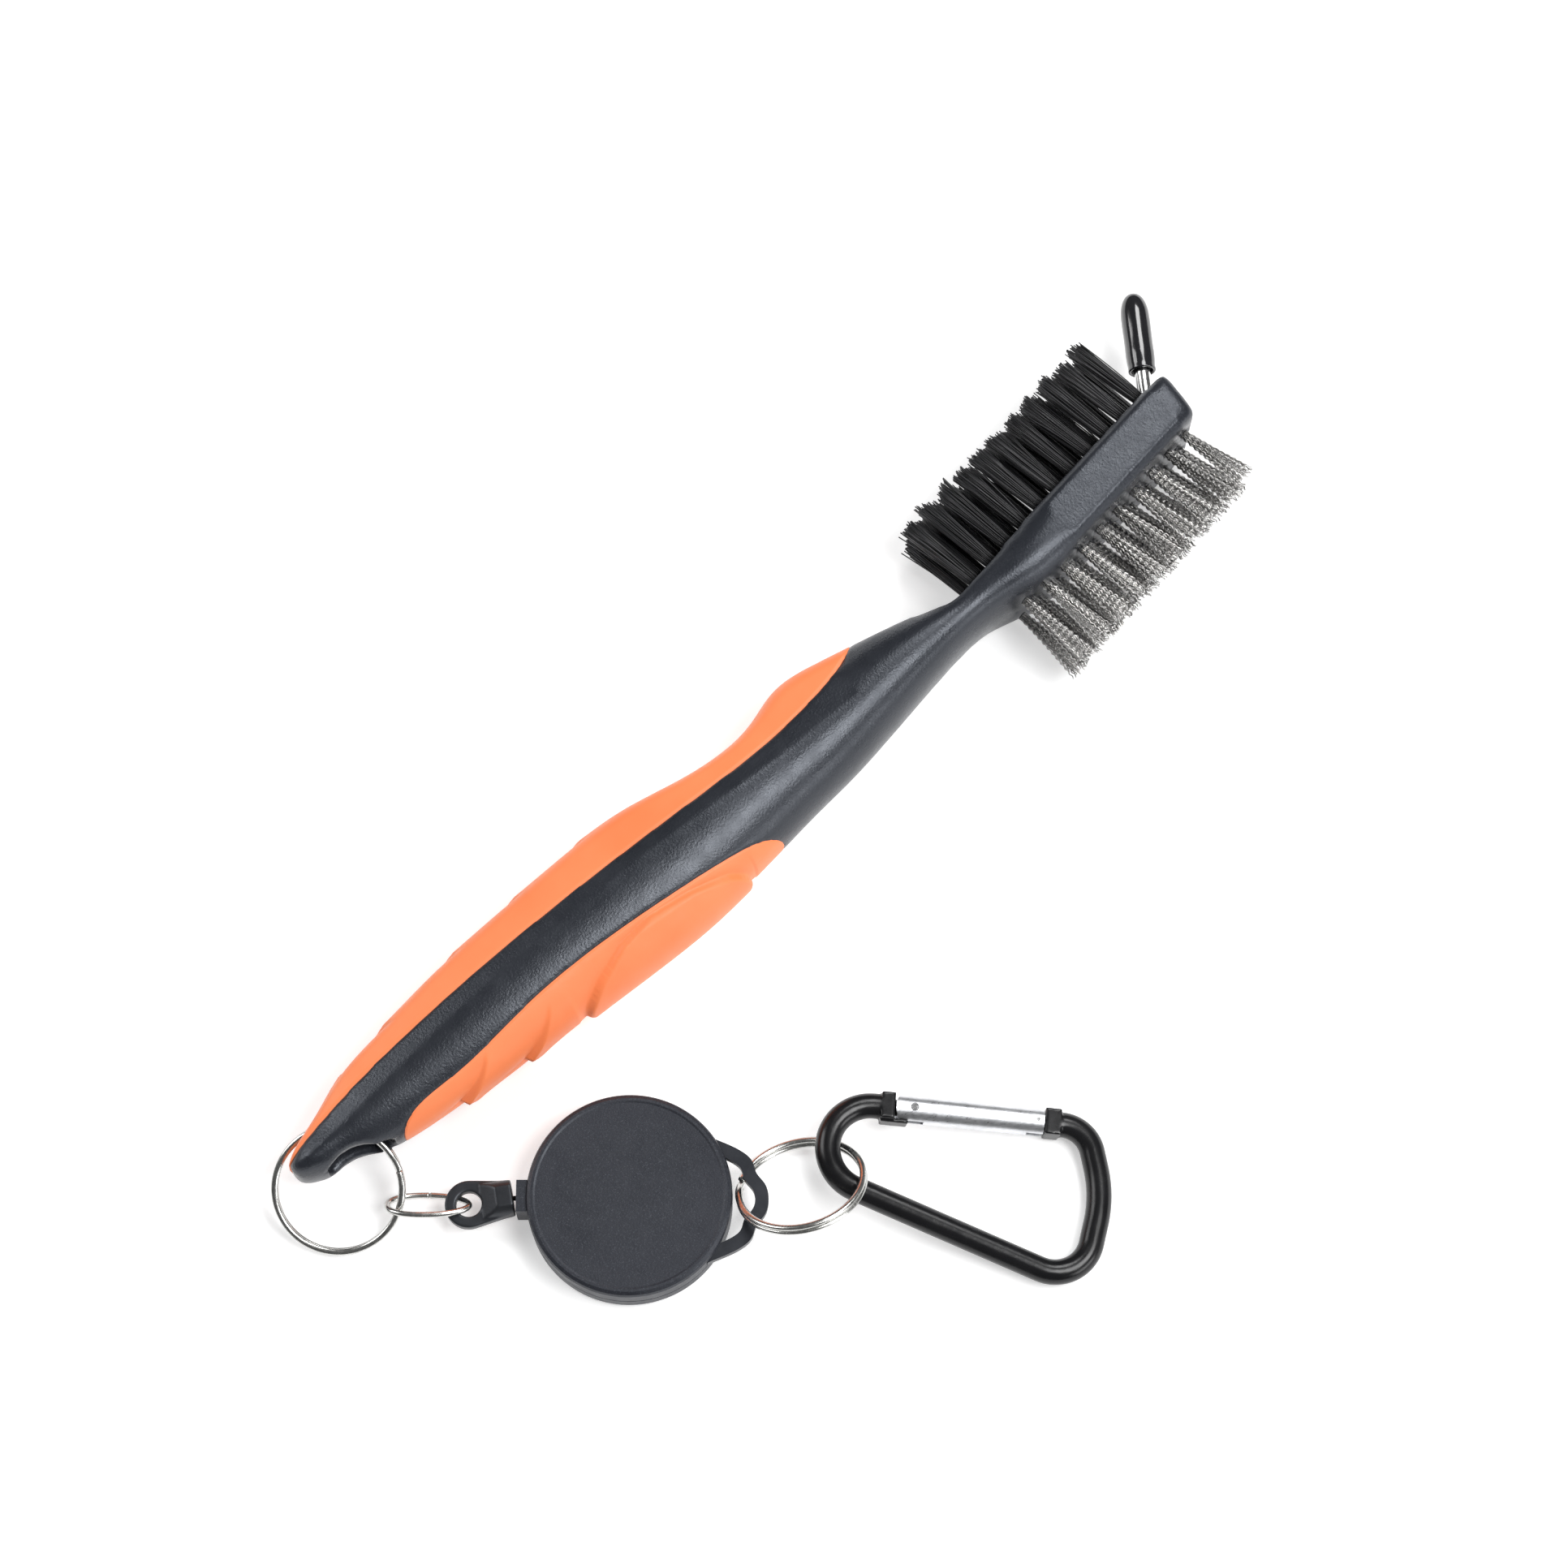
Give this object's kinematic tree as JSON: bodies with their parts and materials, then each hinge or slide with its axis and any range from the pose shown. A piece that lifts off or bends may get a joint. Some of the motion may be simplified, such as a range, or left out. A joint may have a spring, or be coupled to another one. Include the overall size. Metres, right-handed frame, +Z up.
{
  "type": "club groove brush",
  "caption": "Two-sided groove brush with nylon and wire tufts, capped pick, rubber grips, and a retractable cord reel on split rings with a spring-gate carabiner.",
  "frame": {"origin": "centre of the underside of the whole part's box, as it lies on its side", "axes": "+X along the brush from its lanyard end to its head, +Y to the nylon side, +Z up from the surface it lies on"},
  "size_m": [0.2078, 0.1144, 0.019],
  "materials": {
    "core_black": "satin moulded ABS with a fine grain",
    "grip_orange": "soft matt overmoulded thermoplastic rubber",
    "nylon_black": "straight nylon filament",
    "steel_wire": "crimped bright steel wire",
    "anchor_steel": "flat staple wire",
    "pick_steel": "turned and polished",
    "cap_vinyl": "glossy dipped vinyl",
    "ring_chrome": "nickel plated spring wire",
    "tab_black": "satin moulded plastic",
    "cord_black": "braided nylon cord",
    "reel_black": "fine spark-eroded grain",
    "bail_black": "black enamelled flat bar",
    "spool_grey": "natural moulded acetal",
    "spring_steel": "blued spring strip",
    "carabiner_black": "gloss black anodised bar",
    "gate_silver": "satin drawn tube",
    "rivet_steel": "bright turned steel"
  },
  "bodies": {
    "brush": {"handle_core": "core_black", "grip_back": "grip_orange", "grip_front": "grip_orange", "nylon_row_top": "nylon_black", "nylon_row_middle": "nylon_black", "nylon_row_bottom": "nylon_black", "wire_row_top": "steel_wire", "wire_row_middle": "steel_wire", "wire_row_bottom": "steel_wire", "nylon_anchors": "anchor_steel", "wire_anchors": "anchor_steel", "groove_pick": "pick_steel"},
    "cap": {"pick_cap": "cap_vinyl"},
    "ring": {"key_ring": "ring_chrome"},
    "link": {"wire_link": "ring_chrome"},
    "cord_tab": {"cord_end": "tab_black", "cord_knot": "cord_black"},
    "reel": {"case_front": "reel_black", "case_back": "reel_black", "bail": "bail_black", "cord_strand": "cord_black", "power_spring": "spring_steel"},
    "drum": {"spool": "spool_grey", "cord_winding": "cord_black"},
    "lower_ring": {"small_ring": "ring_chrome"},
    "carabiner": {"carabiner_body": "carabiner_black", "gate_rivet": "rivet_steel"},
    "gate": {"carabiner_gate": "gate_silver", "latch_pin": "rivet_steel", "gate_plunger": "rivet_steel", "gate_spring": "spring_steel"}
  },
  "joints": [
    {"name": "cap_pull", "type": "slide", "parent": "brush", "child": "cap", "axis": [0.6088, 0.7934, 0], "range_m": [0, 0.014]},
    {"name": "key_ring_swing", "type": "hinge", "parent": "brush", "child": "ring", "pos_m": [-0.08824, 0.03588, 0.0095], "axis": [0, 0, 1], "range_deg": [-6, 2]},
    {"name": "link_lift", "type": "hinge", "parent": "ring", "child": "link", "pos_m": [-0.08839, 0.02271, 0.00441], "axis": [-0.6756, -0.7373, 0], "range_deg": [0, 25]},
    {"name": "cord_tab_swing", "type": "hinge", "parent": "link", "child": "cord_tab", "pos_m": [-0.08112, 0.01607, 0.004], "axis": [0, 0, 1], "range_deg": [-15, 15]},
    {"name": "cord_pull", "type": "slide", "parent": "cord_tab", "child": "reel", "axis": [0.7373, -0.6756, 0], "range_m": [0, 0.6], "stiffness_N_per_m": 1.2, "springref_m": -0.8, "deforming": ["cord_strand"]},
    {"name": "drum_spin", "type": "hinge", "parent": "reel", "child": "drum", "pos_m": [-0.06138, -0.00089, 0.004], "axis": [0, 0, 1], "range_deg": [0, 2926.74], "deforming": ["power_spring"]},
    {"name": "lower_ring_lift", "type": "hinge", "parent": "reel", "child": "lower_ring", "pos_m": [-0.04742, -0.01368, 0.00596], "axis": [-0.6756, -0.7373, 0], "range_deg": [0, 25]},
    {"name": "carabiner_swing", "type": "hinge", "parent": "lower_ring", "child": "carabiner", "pos_m": [-0.03302, -0.01988, 0.0062], "axis": [0, 0, 1], "range_deg": [-12, 10]},
    {"name": "gate_open", "type": "hinge", "parent": "carabiner", "child": "gate", "pos_m": [-0.01922, -0.02033, 0.00502], "axis": [-0.0744, 0.0682, -0.9949], "range_deg": [0, 30], "stiffness_Nm_per_rad": 0.02, "springref_deg": -20.05, "deforming": ["gate_spring"]}
  ],
  "couplings": [
    {"joint": "drum_spin", "follows": "cord_pull", "rad_per_m": 85.106}
  ]
}
